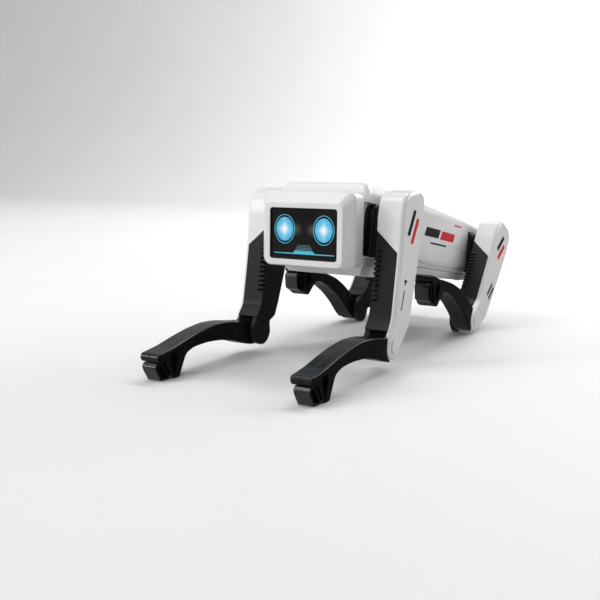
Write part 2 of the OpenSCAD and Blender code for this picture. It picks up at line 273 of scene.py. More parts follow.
def boolean(mesh, other, operation):
    def setup(obj):
        knife = bpy.data.objects.new("knife", other)
        bpy.context.scene.collection.objects.link(knife)
        modifier = obj.modifiers.new("cut", "BOOLEAN")
        modifier.operation = operation
        modifier.solver = "EXACT"
        modifier.object = knife
        return [knife]

    return with_modifiers(mesh, setup)


def cut(mesh, *knives):
    for knife in knives:
        mesh = boolean(mesh, knife, "DIFFERENCE")
    return mesh


def softened(mesh, width):
    """Every sharp edge gets a small round of this width."""

    def setup(obj):
        modifier = obj.modifiers.new("round", "BEVEL")
        modifier.width = width
        modifier.segments = 3
        modifier.limit_method = "ANGLE"
        modifier.angle_limit = math.radians(ROUND_ABOVE)
        modifier.use_clamp_overlap = True
        modifier.miter_outer = "MITER_ARC"

    return with_modifiers(mesh, setup)


# ---- pieces ----


def shade(mesh):
    mesh.polygons.foreach_set("use_smooth", [True] * len(mesh.polygons))
    mesh.set_sharp_from_angle(angle=math.radians(SMOOTH_BELOW))


def add_piece(name, mesh, body, nodes, material, space=None, right=False, centre=None):
    """Puts a mesh, built in millimetres in a local space, on its body in the shared frame.
    right mirrors it to the dog's right side, and centre becomes its own origin."""
    mesh = mesh.copy()
    if space is not None:
        mesh.transform(space)
    mesh.transform(Matrix.Scale(MM, 4))
    if right:
        mesh.transform(Matrix.Scale(-1, 4, (1, 0, 0)))
        mesh.flip_normals()
    mesh.name = name
    obj = bpy.data.objects.new(name, mesh)
    bpy.context.scene.collection.objects.link(obj)
    if centre is not None:
        mesh.transform(Matrix.Translation(-centre))
        obj.location = centre
    shade(mesh)
    mesh.materials.clear()
    mesh.materials.append(material)
    weighted = obj.modifiers.new("normals", "WEIGHTED_NORMAL")
    weighted.keep_sharp = True
    weighted.weight = 60
    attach(obj, body)
    if nodes:
        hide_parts(*nodes)


def add_leg_pieces(kind, mesh, part, material, space_of):
    """One piece per leg for a CAD node kind, riding on the trunk, thigh or shank."""
    for leg in LEGS:
        body = "trunk" if part == "trunk" else f"{part}_{leg}"
        add_piece(
            f"{kind}_look_{leg}", mesh, body, [f"{kind}_{leg}"], material,
            space_of(leg), right=leg.endswith("r"),
        )


# ---- trunk ----

# The trunk's half width, its ends along y, where its tail starts to round, and its underside
TRUNK_HALF = node_box("body_shell")[1].x
TRUNK_FRONT = -23.0
TRUNK_BACK = 224.0
TAIL_START = 216
BELLY_Z = -24.0

# The bays in the trunk's sides that hold the motors
BAY_X = 31.2
BAY_TOP = 14.7
FRONT_BAY_BACK = 21
HIND_BAY_FRONT = 187

# The parting line and the shorter line on the trunk's side, in (y, z)
SEAM = [(24, 0), (50, -12), (78, -19), (100, -20.6), (125, -20.9), (155, -20.2), (188, -19.4)]
SIDE_LINE = [(150, -2.2), (165, -3.1), (188, -3.9)]


def trunk_top(y):
    """Height of the trunk's ridge along its length."""
    if y < -18:
        return 28.2 - 8.7 * (-18 - y) / 5
    if y < 90:
        return 28.2 - 0.8 * (y + 18) / 108
    return 27.4 - 5.4 * min(1, (y - 90) / 126)


def trunk_ring(y, depth=0.0):
    """One cross-section; depth pulls it inwards where an end is rounded."""
    tail = max(0.0, (y - TAIL_START) / (TRUNK_BACK - TAIL_START))
    drop = 8 * (1 - math.sqrt(max(0.0, 1 - tail * tail)))
    half = TRUNK_HALF - depth - 0.6 * drop
    top = trunk_top(y) - depth - drop
    low = BELLY_Z + depth + drop
    shoulder = min(20.5, top - 3)
    corners = [
        (half - 1.7, low, 2.0), (half, max(low + 3, -17), 7.0), (half, shoulder, 7.0),
        (half - 4.2, top, 5.0), (4.2 - half, top, 5.0), (-half, shoulder, 7.0),
        (-half, max(low + 3, -17), 7.0), (1.7 - half, low, 2.0),
    ]
    lean = 0.154 * max(0.0, 1 - (y - TRUNK_FRONT) / 40)
    return [(p.x, y + lean * (19.5 - p.y), p.y) for p in rounded(corners, pieces=6)]


def seam_knife(points, x0, x1, wide):
    """A thin blade that follows (y, z) points, for a parting line in a side wall."""
    upper, lower = [], []
    for i, p in enumerate(points):
        before, after = points[max(0, i - 1)], points[min(len(points) - 1, i + 1)]
        along = (after - before).normalized()
        across = Vector((-along.y, along.x)) * wide / 2
        upper.append(p + across)
        lower.append(p - across)
    return prism(counter_clockwise(upper + lower[::-1]), x0, x1)


def flowing(points):
    """A smooth curve through (y, z) points."""
    steps = 8
    points = [Vector(p) for p in points]
    result = []
    for i in range(len(points) - 1):
        p0, p1, p2 = points[max(0, i - 1)], points[i], points[i + 1]
        p3 = points[min(len(points) - 1, i + 2)]
        for k in range(steps):
            t = k / steps
            bend = (2 * p0 - 5 * p1 + 4 * p2 - p3) * t * t
            twist = (3 * p1 - p0 - 3 * p2 + p3) * t ** 3
            result.append(0.5 * (2 * p1 + (p2 - p0) * t + bend + twist))
    return result + [points[-1]]


def make_trunk_shell():
    stations = [(-23.0, 1.4), (-22.6, 0.5), (-21.8, 0.0), (-20.0, 0), (-18.8, 0)]
    stations += [(-17.2, 0), (-14, 0), (0, 0), (30, 0), (60, 0), (90, 0), (120, 0)]
    stations += [(150, 0), (180, 0), (205, 0), (TAIL_START, 0)]
    stations += [(TAIL_START + 8 * math.sin(math.radians(a)), 0) for a in (20, 40, 58, 74, 84)]
    shell = loft([trunk_ring(y, depth) for y, depth in stations])
    hollow = block(-28.5, 28.5, -16, 215, -30, 15)
    knives = [hollow]
    for sign in (-1, 1):
        x0, x1 = sorted((sign * BAY_X, sign * 45))
        knives.append(block(x0, x1, -40, FRONT_BAY_BACK, -22.4, BAY_TOP))
        knives.append(block(x0, x1, HIND_BAY_FRONT, 240, -30, BAY_TOP))
        for line, deep, wide in ((SEAM, 1.8, 0.9), (SIDE_LINE, 0.5, 0.35)):
            x0, x1 = sorted((sign * (TRUNK_HALF - deep), sign * (TRUNK_HALF + 1)))
            knives.append(seam_knife(flowing(line), x0, x1, wide))
    return softened(cut(shell, *knives), 0.3)


def belly_low(y):
    """Height of the belly's underside along the trunk."""
    steps = [(-16, -31), (-12, -36), (12, -36), (34, -33), (113, -30.8), (202, -28.8)]
    steps += [(214.8, -24.6)]
    for (y0, z0), (y1, z1) in zip(steps, steps[1:]):
        if y <= y1:
            return z0 + (z1 - z0) * (y - y0) / (y1 - y0)
    return steps[-1][1]


def make_belly():
    """The grey underside, with the battery door's opening, speaker slots and screw wells."""
    rings = []
    for y in (-16, -15, -13.4, -12, -10, 0, 10, 14, 22, 32, 38, 60, 113, 160, 198, 204, 210, 214.8):
        low = belly_low(y)
        waist = max(-29.0, low + 1.2) if low > -30 else -29.0
        half = 33.2 - 0.52 * max(0.0, -29 - low)
        corners = [
            (34.0, BELLY_Z - 0.1, 0.5), (33.2, waist, 2.0), (half, low, 2.2),
            (-half, low, 2.2), (-33.2, waist, 2.0), (-34.0, BELLY_Z - 0.1, 0.5),
        ]
        rings.append([(p.x, y, p.y) for p in rounded(corners[::-1], pieces=5)])
    door = block(-20.1, 20.1, 84.9, 165.1, -40, -20)
    slots = [block(-9, 9, 10 + 3 * k, 11.4 + 3 * k, -40, -30) for k in range(-2, 3)]
    wells = [prism_z(circle(2.9, x, y, 24), -40, -27.8) for x in (-26, 26) for y in (60, 196)]
    return softened(cut(loft(rings), door, *slots, *wells), 0.3)


# ---- head ----

# Corners of the bezel's box; y of the face, the chamfer's rear edge, the head's rear, the glass
HEAD_LOW, HEAD_HIGH = node_box("head_bezel")
FACE_Y, CHAMFER_Y = HEAD_LOW.y, HEAD_HIGH.y
REAR_Y = node_box("head_rear")[1].y
HEAD_HALF = HEAD_HIGH.x
GLASS_Y = node_box("screen_glass")[0].y

# The window in the bezel, and the rebate behind it that holds the glass
WINDOW_HALF = 26.4
WINDOW_LOW, WINDOW_HIGH = 73.4, 108.8
REBATE_LOW, REBATE_HIGH = 71.8, 110.4

# The middles of an eye and of the mouth's base line, and how tall an eye is for its width
EYE_X, EYE_Z = 15.4, 94.1
MOUTH_Z = 77.1
EYE_STRETCH = 1.22


def head_ring(y, half, low, high, radius):
    """A rounded rectangle across the dog at y."""
    corners = [(x, z, radius) for x, z in ((-half, low), (half, low), (half, high), (-half, high))]
    return [Vector((p.x, y, p.y)) for p in rounded(corners, pieces=8)]


def soft_profile(stops, closed=False):
    """Rings between stops (y, half, low, high, radius, softness), with soft corners."""
    rings = [(head_ring(*stop[:5]), stop[5]) for stop in stops]
    result = []
    count = len(rings)
    for i, (ring, soft) in enumerate(rings):
        ends = not closed and i in (0, count - 1)
        if ends or soft <= 0:
            result.append(ring)
            continue
        before, after = rings[i - 1][0], rings[(i + 1) % count][0]
        for k in range(6):
            t = k / 5
            made = []
            for a, b, c in zip(before, ring, after):
                start = b + (a - b).normalized() * min(soft, 0.45 * (a - b).length)
                end = b + (c - b).normalized() * min(soft, 0.45 * (c - b).length)
                made.append(start.lerp(b, t).lerp(b.lerp(end, t), t))
            result.append(made)
    return result


def make_bezel():
    half, low, high = HEAD_HALF, HEAD_LOW.z, HEAD_HIGH.z
    stops = [
        (GLASS_Y - 0.1, WINDOW_HALF, WINDOW_LOW, WINDOW_HIGH, 2.0, 0),
        (FACE_Y, WINDOW_HALF, WINDOW_LOW, WINDOW_HIGH, 2.0, 0.45),
        (FACE_Y, 30.4, low + 1.5, high - 7.9, 4.6, 0.7),
        (CHAMFER_Y, half, low, high, 6.5, 1.0),
        (CHAMFER_Y + 0.02, half - 1.4, low + 1.4, high - 1.4, 5.5, 0),
        (CHAMFER_Y - 1.2, half - 2.6, low + 2.6, high - 2.8, 5.0, 0),
        (GLASS_Y + 1.6, 29.4, low + 2.9, high - 9.2, 4.0, 0),
        (GLASS_Y + 1.6, WINDOW_HALF + 1.6, REBATE_LOW, REBATE_HIGH, 2.0, 0),
        (GLASS_Y - 0.1, WINDOW_HALF + 1.6, REBATE_LOW, REBATE_HIGH, 2.0, 0),
    ]
    return loft(soft_profile(stops, closed=True), closed=True)


def make_head_rear():
    half, low, high = HEAD_HALF, HEAD_LOW.z, HEAD_HIGH.z
    front = CHAMFER_Y + 0.1
    stops = [
        (REAR_Y - 2.4, half - 2.4, low + 2.4, high - 2.4, 4.0, 0),
        (front, half - 2.4, low + 2.4, high - 2.4, 4.5, 0),
        (front, half - 0.9, low + 0.9, high - 0.9, 5.8, 0.2),
        (front + 1.1, half - 0.9, low + 0.9, high - 0.9, 5.8, 0.3),
        (front + 1.7, half - 0.1, low + 0.1, high - 0.1, 6.4, 0.5),
        (REAR_Y, half - 0.6, low + 0.4, high - 0.6, 6.0, 2.6),
        (REAR_Y, 18, 79, 109, 4.0, 0),
    ]
    side_lines = []
    for sign in (-1, 1):
        x0, x1 = sorted((sign * (half - 0.5), sign * (half + 1)))
        side_lines.append(block(x0, x1, REAR_Y - 12.5, REAR_Y - 6, 92.6, 93.0))
    return cut(loft(soft_profile(stops)), *side_lines)


def make_neck():
    """A short bellows between the head and the trunk."""
    low, high = node_box("neck")
    stops = [(low.y, high.x - 0.8, low.z + 0.8, high.z - 0.8, 4.0, 0)]
    folds = 5
    span = high.y - low.y
    for k in range(folds):
        y = low.y + span * (k + 0.5) / folds
        stops.append((y - span / folds * 0.3, high.x, low.z, high.z, 4.0, 0.6))
        stops.append((y + span / folds * 0.1, high.x, low.z, high.z, 4.0, 0.6))
        stops.append((y + span / folds * 0.4, high.x - 1.6, low.z + 1.6, high.z - 1.6, 3.0, 0.5))
    return loft(soft_profile(stops))


def make_screen():
    """A black tray: the glass, with a thin wall that lines the window."""
    half, low, high = WINDOW_HALF, WINDOW_LOW, WINDOW_HIGH
    stops = [
        (GLASS_Y + 1.9, half + 1.4, REBATE_LOW + 0.2, REBATE_HIGH - 0.2, 2.0, 0),
        (GLASS_Y + 0.03, half + 1.4, REBATE_LOW + 0.2, REBATE_HIGH - 0.2, 2.0, 0),
        (GLASS_Y + 0.03, half - 0.05, low + 0.05, high - 0.05, 2.0, 0),
        (FACE_Y + 0.55, half - 0.05, low + 0.05, high - 0.05, 2.0, 0),
        (FACE_Y + 0.55, half - 0.45, low + 0.45, high - 0.45, 1.7, 0.12),
        (GLASS_Y - 0.35, half - 0.45, low + 0.45, high - 0.45, 1.7, 0.15),
        (GLASS_Y, half - 1.6, low + 1.6, high - 1.6, 1.2, 0.2),
    ]
    return loft(soft_profile(stops))


def face_plate(outline, soft=0.1):
    """A thin lit shape on the glass, from an outline in (x, z) about its own middle."""
    depth = 0.28
    rings = []
    for y, d in ((0.0, 0.0), (soft - depth, 0.0), (-depth, soft)):
        rings.append([(p.x, y, p.y) for p in inset(outline, d)])
    return loft(rings)


def make_eye_disc():
    return face_plate(circle(6.75, stretch=EYE_STRETCH, count=64))


def make_eye_ring():
    outer = circle(8.2, stretch=1.24, count=72)
    inner = inset(outer, 0.55)
    section = ((outer, 0), (outer, -0.2), (inner, -0.2), (inner, 0))
    return loft([[(p.x, y, p.y) for p in outline] for outline, y in section], closed=True)


def make_mouth():
    """The base line, a low trapezoid and thin stripes above it, about (0, MOUTH_Z)."""
    shapes = [[(-23.8, 0), (23.8, 0), (23.8, 0.7), (-23.8, 0.7)]]
    shapes.append([(-8.8, 0.5), (8.8, 0.5), (6.9, 2.6), (-6.9, 2.6)])
    for k in range(4):
        z = 3.1 + 0.95 * k
        wide = 6.6 - 0.5 * k
        shapes.append([(-wide, z), (wide, z), (wide - 0.25, z + 0.5), (0.25 - wide, z + 0.5)])
    return merged([face_plate([Vector(p) for p in shape], soft=0.08) for shape in shapes])


# ---- hips and thighs ----

# Places along x: a thigh's two sides, the motor's outer end, the inner side of the thigh's
# outer strip, the outer side of the frame's knee plate and the floor of the sickle
THIGH_IN = node_box("thigh_shell_fl")[0].x
THIGH_OUT = node_box("thigh_shell_fl")[1].x
MOTOR_OUT = node_box("hip_motor_fl")[1].x
SHELL_IN = 60.0
PLATE_OUT = 47.6
HEEL_FLOOR = 61.2

# Radius of the thigh's round knee end
KNEE_R = 10.0

# Heights of the slanted cut at the thigh's inner side and at the outer strip
SLANT_IN, SLANT_OUT = 77.3, 61.7

# The ladder of ribs in the inner frame
LADDER_LOW, LADDER_HIGH = 28.4, 64.6
RIB_COUNT = 11
RIB_PITCH = 3.3
RIB_LEAN = -0.53
RIB_TILT = -9


def make_motor():
    """A block with stepped ridges round it, from (x, inset) stops."""
    half, low, high = 16.5, -21.6, 14.4
    corners = [(-half, low, 4), (half, low, 4), (half, high, 8), (-half, high, 8)]
    outline = rounded(corners, step=6)
    profile = [(28, 1.0), (28.8, 0.0), (33.0, 0.0), (33.5, 0.25), (33.8, 1.3), (34.9, 1.3)]
    profile += [(35.2, 0.5), (35.7, 0.15), (37.4, 0.15), (37.9, 0.4), (38.2, 1.6), (39.2, 1.6)]
    profile += [(39.5, 0.9), (40.0, 0.7), (40.8, 1.0), (41.5, 1.9), (42.4, 3.0), (MOTOR_OUT, 4.4)]
    return loft([[(x, p.x, p.y) for p in inset(outline, d)] for x, d in profile])


def thigh_outline():
    """Side shape of the white thigh, drawn from the knee axis."""
    return rounded([
        (-10.8, -2.5, 9.6), (-3.2, -10.6, 9.6), (6.5, -8.3, 9.6), (19.9, 16.5, 4), (20.1, 36, 60),
        (18.9, 72, 100), (17.9, 92.3, 17.9), (12, 114.5, 11.5), (-17.9, 101.7, 17.9),
        (-17.7, 86.5, 25), (-13, 68, 60), (-10.6, 54, 60), (-7.4, 33, 60), (-5.3, 18, 14),
    ], step=5)


def below_slant(grow=0.0):
    """Everything inside the outer strip and below the slanted edge, in (x, u)."""
    return prism_y([
        Vector((20, -60)), Vector((SHELL_IN, -60)), Vector((SHELL_IN, SLANT_OUT + grow)),
        Vector((THIGH_IN - 1, SLANT_IN + grow)), Vector((20, SLANT_IN + 21 + grow)),
    ], -60, 60)


def heel_crescent():
    """The sickle at the back of the knee, open towards the rear edge: a slot whose floor gets a
    painted shade.
    """
    return rounded([(16.0, 8.6, 0.2), (14.4, 0.0, 3), (9.6, -6.4, 0.2), (11.2, 2.0, 4)], step=12)


def make_thigh_shell():
    outline = thigh_outline()
    body = plate(outline, THIGH_IN, THIGH_OUT, near=(1.0, 1.2), far=(3.2, 4.6), steps=8, rear=0.4)
    cap_seat = prism(circle(5.25, count=64), THIGH_OUT - 1.3, THIGH_OUT + 2)
    knives = [below_slant(), cap_seat, prism(heel_crescent(), HEEL_FLOOR, THIGH_OUT + 2)]
    return softened(cut(body, *knives), 0.35)


def make_thigh_frame():
    """The black inner block, with its round knee plate and the ladder of ribs."""
    side = rounded([
        (-16, 82, 1), (-14.6, 76, 20), (-12.8, 67, 30), (-10.4, 53, 60), (-7.3, 33, 60),
        (-5.4, 18, 12), (-9.6, 7.4, 0.6), (-4.6, 10.9, 0.5), (11.5, 10.9, 0.8), (15.4, 14.5, 3),
        (16.6, 24, 20), (18, 46, 60), (18.4, 82, 1),
    ], step=6)
    knee = rounded([
        (-10.8, -2.5, 9.6), (-4.2, -9.7, 9.6), (8.4, -10, 10), (14.1, 0, 10), (9.9, 8.4, 1.5),
        (13.4, 15, 2), (-5.5, 18, 3),
    ], step=6)
    block_part = plate(side, THIGH_IN, SHELL_IN - 0.1, near=(0.3, 0.25), far=(0.2, 0.15))
    knee_part = plate(knee, THIGH_IN + 0.02, PLATE_OUT, near=(0.7, 0.7), far=(0.5, 0.5))
    channel = prism([
        Vector((-20, LADDER_LOW)), Vector((-3.2, LADDER_LOW)),
        Vector((-8.8, LADDER_HIGH)), Vector((-20, LADDER_HIGH)),
    ], THIGH_IN - 1, THIGH_IN + 4.8)
    hole = prism(circle(1.3, 1.4, 6.5, 20), 40, THIGH_IN + 2)
    body = boolean(block_part, knee_part, "UNION")
    body = boolean(body, below_slant(-0.9), "INTERSECT")
    body = softened(cut(body, channel, hole), 0.3)
    section = rounded([(-2.7, -1.0, 0.3), (2.2, -1.1, 0.1), (2.2, 1.1, 0.1), (-2.7, 1.0, 0.3)])
    rib = plate(section, THIGH_IN + 0.25, THIGH_IN + 4.9, near=(0.5, 0.35), far=(0.1, 0.1))
    tilt = Matrix.Rotation(math.radians(RIB_TILT), 4, "X")
    ribs = []
    for k in range(RIB_COUNT):
        place = Matrix.Translation((0, -5.0 + RIB_LEAN * k, LADDER_LOW + 2 + RIB_PITCH * k))
        ribs.append(turned(rib, place @ tilt))
    return merged([body, *ribs])


def make_knee_cap():
    """A round cap with a rolled rim, from (x, radius) stops."""
    stops = [(61.9, 4.9), (63.9, 4.9), (64.15, 4.75), (64.28, 4.4), (64.3, 4.1), (64.2, 3.9)]
    stops.append((64.2, 1.0))
    return loft([[(x, p.x, p.y) for p in circle(radius)] for x, radius in stops])


# ---- plain printed marks, and the painted shade in the thigh's sickle, as thin raised shapes ----

# How far a mark stands proud of its wall
PRINT = 0.1


def stripe(a, low, high, wide, lean, x):
    """A slanted bar on the side wall at x: its low corner at y = a, and its top leans back."""
    shape = rounded([
        (a, low, 0.3), (a + wide, low, 0.3), (a + wide + lean, high, 0.3), (a + lean, high, 0.3)
    ], step=30)
    return prism(shape, x - 0.3, x + PRINT)


def make_thigh_marks_and_heel_shade(front):
    """Dark marks: a stripe and a pointer or two short bars, which are print, and a painted shade on
    the sickle's floor.
    """
    inside = prism(inset(thigh_outline(), 0.25), SHELL_IN + 0.3, HEEL_FLOOR + 0.2)
    # Painted shade: a dark sheet on the floor of the sickle slot, where the recess lies in shade
    heel_shade = boolean(prism(heel_crescent(), SHELL_IN + 0.6, HEEL_FLOOR + 0.1), inside, "INTERSECT")
    marks = [heel_shade, stripe(-7.6, 76, 95, 4.4, 4.6, THIGH_OUT)]
    if front:
        pointer = rounded([(-0.8, 46.4, 0.3), (1.8, 42.2, 0.3), (4.4, 46.4, 0.3)], step=30)
        marks.append(prism(pointer, THIGH_OUT - 0.3, THIGH_OUT + PRINT))
        marks.append(stripe(1.0, 25, 39, 1.3, 0.6, THIGH_OUT))
    else:
        marks += [stripe(b, 33, 48, 3.0, 2.6, THIGH_OUT) for b in (4.5, 10.0)]
    return merged(marks)


def make_thigh_stripe():
    """The red bar beside the dark one."""
    return stripe(-0.4, 72, 91, 4.4, 4.6, THIGH_OUT)


def make_trunk_marks():
    """The dark wide bar and the thin one below."""
    wide_bar = stripe(84, 1.8, 9.0, 31, 4, TRUNK_HALF)
    thin_bar = stripe(98, -3.8, -2.4, 36, 0.8, TRUNK_HALF)
    return merged([wide_bar, thin_bar])


def make_trunk_stripe():
    """The red wide bar and the thin one above."""
    wide_bar = stripe(119, 1.4, 8.6, 31, 4, TRUNK_HALF)
    thin_bar = stripe(150, 15.6, 17.0, 17, 0.8, TRUNK_HALF)
    return merged([wide_bar, thin_bar])


# ---- shanks and feet ----

# Places along x: a shank's two sides, the seam between its halves and the knuckle's outer side
SHANK_IN = node_box("shank_inner_fl")[0].x
SHANK_OUT = node_box("shank_outer_fl")[1].x
SHANK_SEAM = 55.42
KNUCKLE_OUT = 59.6

# How far each half stays from the seam
SEAM_GAP = 0.04

# The screws, in (u forward, v up) from the knee
SCREWS_AT = ((24.4, 2.1), (83.3, -1.7))
KNEE_HEIGHT = JOINTS["knee_fl"].z


def floor_v(u):
    """The ground below the front shank, in its own space."""
    rise = math.radians(RISE_FRONT)
    return -(KNEE_HEIGHT + u * math.sin(rise)) / math.cos(rise)


def forward(points):
    """Turns (u forward, v up) into (y, z)."""
    return counter_clockwise([Vector((-p.x, p.y)) for p in points])


def shank_outline():
    """Side shape of the shank in (y, v): the knuckle, the back of the leg, the toe, the sole."""
    corners = [
        (4.1, -9.9, 9.9), (9.9, -4.1, 9.9), (9.9, 4.1, 9.9), (4.1, 9.9, 9.9), (-2.6, 9.9, 6),
        (-9.5, 7.3, 12), (-20, 8.2, 40), (-33, 9.9, 60), (-49, 10.3, 60), (-66, 7.9, 60),
        (-80, 4.8, 60), (-96, 0.6, 40), (-107, -1.4, 20), (-110.6, -1.75, 2.8),
        (-112.3, -4.6, 2.5), (-110.3, -7.5, 1.8), (-103.8, -7.4, 0.5), (-95.6, floor_v(95.6), 0.6),
        (-89.6, floor_v(89.6), 1.6), (-85.6, -11, 20), (-82.6, -5.2, 7), (-75, -2.2, 30),
        (-60, -1.0, 60), (-44, -1.6, 60), (-28, -4.2, 60), (-12, -8.8, 30), (-4, -10.2, 10),
    ]
    return counter_clockwise(rounded(corners, step=6))


def shank_knives(outer):
    """The foot's side hollow, and the screw holes on the inner side."""
    drop = forward(rounded([(95.3, -18.4, 0.6), (102.0, -2.7, 4.0), (90.5, -2.7, 4.0)], step=10))
    if outer:
        return [prism(drop, SHANK_OUT - 3.2, SHANK_OUT + 2)]
    knives = [prism(drop, SHANK_IN - 2, SHANK_IN + 3.2)]
    for u, v in SCREWS_AT:
        knives.append(prism(circle(2.1, -u, v, 28), SHANK_IN - 1, SHANK_IN + 2.4))
    return knives


def make_shank_inner():
    seam = SHANK_SEAM - SEAM_GAP
    body = plate(shank_outline(), SHANK_IN, seam, near=(1.1, 1.1), far=(0.25, 0.25))
    return softened(cut(body, *shank_knives(False)), 0.35)


def make_shank_outer():
    seam = SHANK_SEAM + SEAM_GAP
    body = plate(shank_outline(), seam, SHANK_OUT, near=(0.25, 0.25), far=(0.9, 0.9))
    thigh_room = [
        prism(circle(KNEE_R + 0.9, count=72), KNUCKLE_OUT, SHANK_OUT + 2),
        block(KNUCKLE_OUT, SHANK_OUT + 2, -10.4, 14, 2, 14),
    ]
    return softened(cut(body, *shank_knives(True), *thigh_room), 0.35)


def make_foot_pad():
    """The block under the toe, with a deep six-sided pocket in each side."""
    low = floor_v(102)
    shape = forward(rounded([
        (104.3, -7.9, 0.5), (109.8, -7.9, 1.0), (111.7, -10.2, 1.2), (110.9, -12.6, 1.6),
        (105.8, floor_v(105.8), 1.2), (96.6, floor_v(96.6), 0.6),
    ], step=10))
    pocket = forward(rounded([
        (105.0, -9.1, 0.3), (108.8, -9.0, 0.5), (110.0, -10.2, 0.5), (109.6, -12.4, 0.8),
        (105.2, low + 1.2, 0.6), (98.9, low + 1.2, 0.3),
    ], step=15))
    x0, x1 = SHANK_IN + 2.5, SHANK_OUT - 1.5
    body = plate(shape, x0, x1, near=(0.3, 0.3), far=(0.3, 0.3))
    pockets = [prism(pocket, x0 - 1, x0 + 3.5), prism(pocket, x1 - 3.5, x1 + 1)]
    return softened(cut(body, *pockets), 0.2)


# ---- materials ----


class Shader:
    """A material's node tree, with one short method per kind of node."""

    def __init__(self, name, **constants):
        self.material = bpy.data.materials.new(name)
        self.material.use_nodes = True
        self.nodes = self.material.node_tree.nodes
        self.links = self.material.node_tree.links
        self.surface = self.nodes["Principled BSDF"]
        for socket, value in constants.items():
            self.surface.inputs[socket.replace("_", " ")].default_value = value
        self.place = self.nodes.new("ShaderNodeTexCoord").outputs["Object"]

    def link(self, source, node, socket):
        self.links.new(source, node.inputs[socket])

    def scaled(self, scale):
        node = self.nodes.new("ShaderNodeMapping")
        node.inputs["Scale"].default_value = scale
        self.link(self.place, node, "Vector")
        return node.outputs["Vector"]

    def noise(self, scale, detail=3.0, rough=0.55, stretch=None):
        node = self.nodes.new("ShaderNodeTexNoise")
        node.inputs["Scale"].default_value = scale
        node.inputs["Detail"].default_value = detail
        node.inputs["Roughness"].default_value = rough
        self.link(self.scaled(stretch) if stretch else self.place, node, "Vector")
        return node.outputs["Fac"]

    def bumps(self, scale):
        """Rounded cells, for the fine grain of a moulding."""
        node = self.nodes.new("ShaderNodeTexVoronoi")
        node.feature = "SMOOTH_F1"
        node.inputs["Scale"].default_value = scale
        self.link(self.place, node, "Vector")
        return node.outputs["Distance"]

    def spread(self, value, low, high, from_low=0.3, from_high=0.7):
        node = self.nodes.new("ShaderNodeMapRange")
        node.inputs["From Min"].default_value = from_low
        node.inputs["From Max"].default_value = from_high
        node.inputs["To Min"].default_value = low
        node.inputs["To Max"].default_value = high
        self.link(value, node, "Value")
        return node.outputs["Result"]

    def math(self, operation, one, two=None):
        node = self.nodes.new("ShaderNodeMath")
        node.operation = operation
        for i, value in enumerate(v for v in (one, two) if v is not None):
            if isinstance(value, (int, float)):
                node.inputs[i].default_value = value
            else:
                self.links.new(value, node.inputs[i])
        return node.outputs["Value"]

    def ramp(self, value, *stops):
        """Colour by value, from (position, colour) stops."""
        node = self.nodes.new("ShaderNodeValToRGB")
        elements = node.color_ramp.elements
        while len(elements) < len(stops):
            elements.new(0.5)
        for element, (position, colour) in zip(elements, stops):
            element.position = position
            element.color = (*colour, 1)
        self.link(value, node, "Fac")
        return node.outputs["Color"]

    def bump(self, height, strength, distance):
        node = self.nodes.new("ShaderNodeBump")
        node.inputs["Strength"].default_value = strength
        node.inputs["Distance"].default_value = distance
        self.link(height, node, "Height")
        return node.outputs["Normal"]

    def far_from(self, point):
        """Distance in the object's own space."""
        node = self.nodes.new("ShaderNodeVectorMath")
        node.operation = "DISTANCE"
        node.inputs[1].default_value = point
        self.links.new(self.place, node.inputs[0])
        return node.outputs["Value"]

    def to(self, socket, source):
        self.links.new(source, self.surface.inputs[socket])


# Depth of a moulding's grain, in metres
GRAIN_DEPTH = 0.00006


def plastic(name, dark, light, rough, grain, coat=0.0, handling=0.0, ior=1.5):
    """Moulded plastic: mottled colour, uneven gloss, fine grain and faint handling marks.
    dark and light are the two colours, rough is the spread of roughness, grain is the
    grain's scale and strength, and handling is how much the marks roughen the surface."""
    s = Shader(name, Coat_Weight=coat, Coat_Roughness=0.09, IOR=ior)
    blotch = s.noise(38, 3, 0.45)
    s.to("Base Color", s.ramp(blotch, (0.34, dark), (0.66, light)))
    uneven = s.spread(s.noise(60, 1, 0.4), rough[0], rough[1], 0.1, 0.9)
    if handling:
        marks = s.noise(1, 6, 0.7, stretch=(900, 120, 260))
        uneven = s.math("ADD", uneven, s.spread(marks, 0.0, handling, 0.56, 0.72))
    s.to("Roughness", uneven)
    s.to("Normal", s.bump(s.bumps(grain[0]), grain[1], GRAIN_DEPTH))
    return s.material


def steel():
    s = Shader("look_steel", Metallic=1.0)
    rings = s.noise(1, 4, 0.6, stretch=(2600, 500, 500))
    s.to("Base Color", s.ramp(rings, (0.3, (0.16, 0.16, 0.17)), (0.7, (0.30, 0.30, 0.31))))
    s.to("Roughness", s.spread(s.noise(420, 4), 0.26, 0.46))
    s.to("Normal", s.bump(rings, 0.25, 0.00004))
    return s.material


def board():
    """Solder mask with a faint pattern of tracks."""
    s = Shader("look_board", Coat_Weight=0.4, Coat_Roughness=0.2)
    tracks = s.nodes.new("ShaderNodeTexBrick")
    tracks.inputs["Scale"].default_value = 160
    tracks.inputs["Mortar Size"].default_value = 0.03
    tracks.inputs["Color1"].default_value = (0.01, 0.09, 0.045, 1)
    tracks.inputs["Color2"].default_value = (0.012, 0.11, 0.05, 1)
    tracks.inputs["Mortar"].default_value = (0.03, 0.2, 0.09, 1)
    s.link(s.place, tracks, "Vector")
    s.to("Base Color", tracks.outputs["Color"])
    s.to("Roughness", s.spread(s.noise(300, 3), 0.3, 0.5))
    s.to("Normal", s.bump(tracks.outputs["Fac"], 0.2, 0.00004))
    return s.material


def cell_wrap():
    s = Shader("look_cell_wrap", Coat_Weight=0.5, Coat_Roughness=0.1)
    s.to("Base Color", s.ramp(s.noise(90, 3), (0.3, (0.03, 0.09, 0.32)), (0.7, (0.05, 0.13, 0.42))))
    s.to("Roughness", s.spread(s.noise(260, 4), 0.18, 0.38))
    s.to("Normal", s.bump(s.noise(1, 4, 0.6, stretch=(80, 900, 80)), 0.3, 0.0002))
    return s.material


